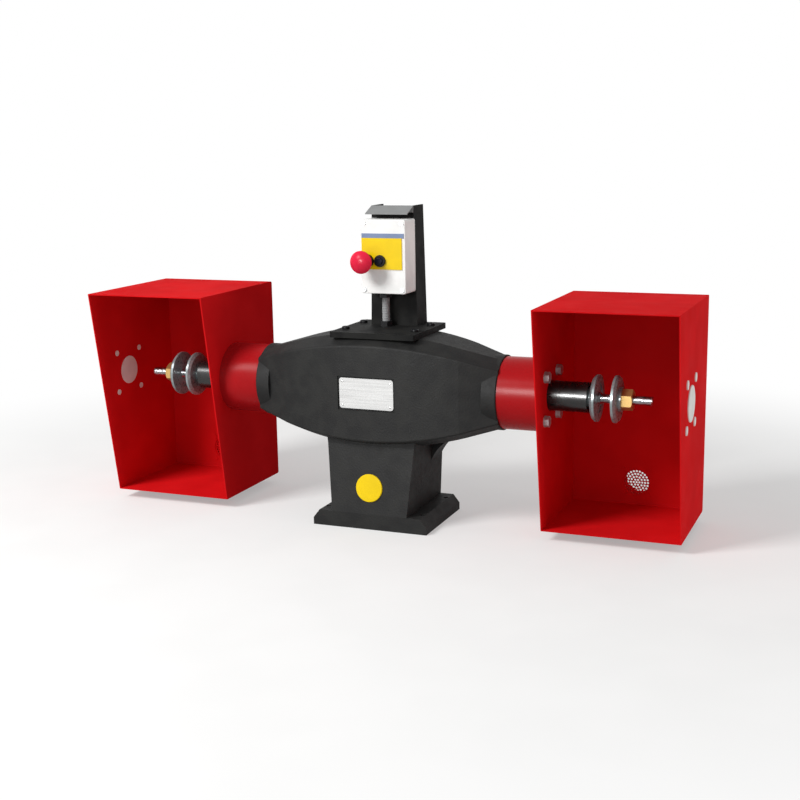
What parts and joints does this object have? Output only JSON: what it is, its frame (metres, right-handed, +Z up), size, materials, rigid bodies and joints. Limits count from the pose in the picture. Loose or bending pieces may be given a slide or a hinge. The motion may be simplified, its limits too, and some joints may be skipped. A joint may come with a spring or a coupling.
{
  "type": "polishing machine",
  "caption": "Bench polishing machine: a black barrel motor on a pedestal, flanged spindle ends in open red dust hoods with suction outlets, and a control box with emergency stop on a bracket.",
  "frame": {"origin": "on the bench, at the centre of the four bench bolts, under the middle of the spindle", "axes": "+X along the spindle to the right as seen from the front, +Y to the back, +Z up"},
  "size_m": [1.096, 0.3075, 0.565],
  "materials": {
    "red_paint": "gloss red paint on sheet steel",
    "black_casting": "satin black paint on a cast housing",
    "black_iron": "satin black paint on cast iron",
    "black_sheet": "satin black paint on sheet steel",
    "grey_sheet": "grey paint on sheet steel",
    "dark_steel": "burnished dark steel",
    "bright_steel": "ground steel",
    "zinc_steel": "zinc-plated steel",
    "brass": "machined brass",
    "white_plastic": "moulded white plastic",
    "yellow_plastic": "yellow plastic",
    "red_plastic": "gloss red plastic",
    "black_plastic": "moulded black plastic",
    "navy_plastic": "dark blue plastic",
    "grey_plastic": "moulded grey plastic",
    "blue_grey_plastic": "blue-grey plastic strip",
    "silver_plate": "brushed aluminium plate, bare",
    "lamination_steel": "stacked steel laminations",
    "copper_winding": "varnished copper wire"
  },
  "bodies": {
    "frame": {"badge_plate": "silver_plate", "bearing_outer_rings": "bright_steel", "bolt_hole_plugs": "white_plastic", "bracket": "black_sheet", "bracket_screws": "zinc_steel", "bracket_visor": "grey_sheet", "capacitor_clamps": "zinc_steel", "conduit_glands": "black_plastic", "contact_blocks": "black_plastic", "control_box_body": "white_plastic", "control_box_lid": "white_plastic", "control_conduit": "grey_plastic", "estop_bezel": "yellow_plastic", "grey_strip": "blue_grey_plastic", "hood_bolts": "zinc_steel", "left_collar": "red_paint", "left_end_bell": "black_casting", "left_hood_inner_cheek": "red_paint", "left_hood_outer_cheek": "red_paint", "left_hood_wrap": "red_paint", "left_nose_tube": "dark_steel", "left_spindle_hole_plug": "white_plastic", "left_suction_grille": "red_paint", "left_suction_spigot": "red_paint", "lid_screws": "white_plastic", "motor_housing": "black_casting", "pedestal": "black_iron", "pedestal_cap": "yellow_plastic", "plate_screws": "dark_steel", "right_collar": "red_paint", "right_end_bell": "black_casting", "right_hood_inner_cheek": "red_paint", "right_hood_outer_cheek": "red_paint", "right_hood_wrap": "red_paint", "right_nose_tube": "dark_steel", "right_spindle_hole_plug": "white_plastic", "right_suction_grille": "red_paint", "right_suction_spigot": "red_paint", "run_capacitor": "grey_plastic", "start_bezel": "black_plastic", "stator_core": "lamination_steel", "stator_windings": "copper_winding", "suction_rivets": "zinc_steel", "top_plate": "black_iron", "yellow_plate": "yellow_plastic"},
    "spindle": {"spindle_shaft": "bright_steel", "spindle_ends": "bright_steel", "rotor_core": "lamination_steel", "cooling_fan": "grey_plastic", "bearing_inner_rings": "bright_steel", "bearing_balls": "bright_steel", "left_inner_flange": "dark_steel", "right_inner_flange": "dark_steel"},
    "left_flange": {"left_outer_flange": "dark_steel"},
    "right_flange": {"right_outer_flange": "dark_steel"},
    "left_nut": {"left_wheel_nut": "brass"},
    "right_nut": {"right_wheel_nut": "brass"},
    "estop_stem": {"estop_plunger": "grey_plastic"},
    "estop_mushroom": {"estop_head": "red_plastic"},
    "start_cap": {"start_button": "navy_plastic"}
  },
  "joints": [
    {"name": "spindle_spin", "type": "hinge", "parent": "frame", "child": "spindle", "pos_m": [0, 0, 0.246], "axis": [1, 0, 0], "continuous": true},
    {"name": "left_flange_slide", "type": "slide", "parent": "spindle", "child": "left_flange", "axis": [-1, 0, 0], "range_m": [-0.02, 0.02]},
    {"name": "left_nut_turn", "type": "hinge", "parent": "left_flange", "child": "left_nut", "pos_m": [-0.442, 0, 0.246], "axis": [1, 0, 0], "range_deg": [-3605, 3605]},
    {"name": "right_flange_slide", "type": "slide", "parent": "spindle", "child": "right_flange", "axis": [1, 0, 0], "range_m": [-0.02, 0.02]},
    {"name": "right_nut_turn", "type": "hinge", "parent": "right_flange", "child": "right_nut", "pos_m": [0.442, 0, 0.246], "axis": [1, 0, 0], "range_deg": [-3605, 3605]},
    {"name": "estop_press", "type": "slide", "parent": "frame", "child": "estop_stem", "axis": [0, 1, 0], "range_m": [0, 0.005]},
    {"name": "estop_twist", "type": "hinge", "parent": "estop_stem", "child": "estop_mushroom", "pos_m": [-0.0225, -0.048, 0.471], "axis": [0, 1, 0], "range_deg": [0, 45], "stiffness_Nm_per_rad": 0.05},
    {"name": "start_press", "type": "slide", "parent": "frame", "child": "start_cap", "axis": [0, 1, 0], "range_m": [0, 0.003], "stiffness_N_per_m": 600}
  ],
  "couplings": [
    {"joint": "left_nut_turn", "follows": "left_flange_slide", "rad_per_m": 3141.6},
    {"joint": "right_nut_turn", "follows": "right_flange_slide", "rad_per_m": 3141.6}
  ]
}
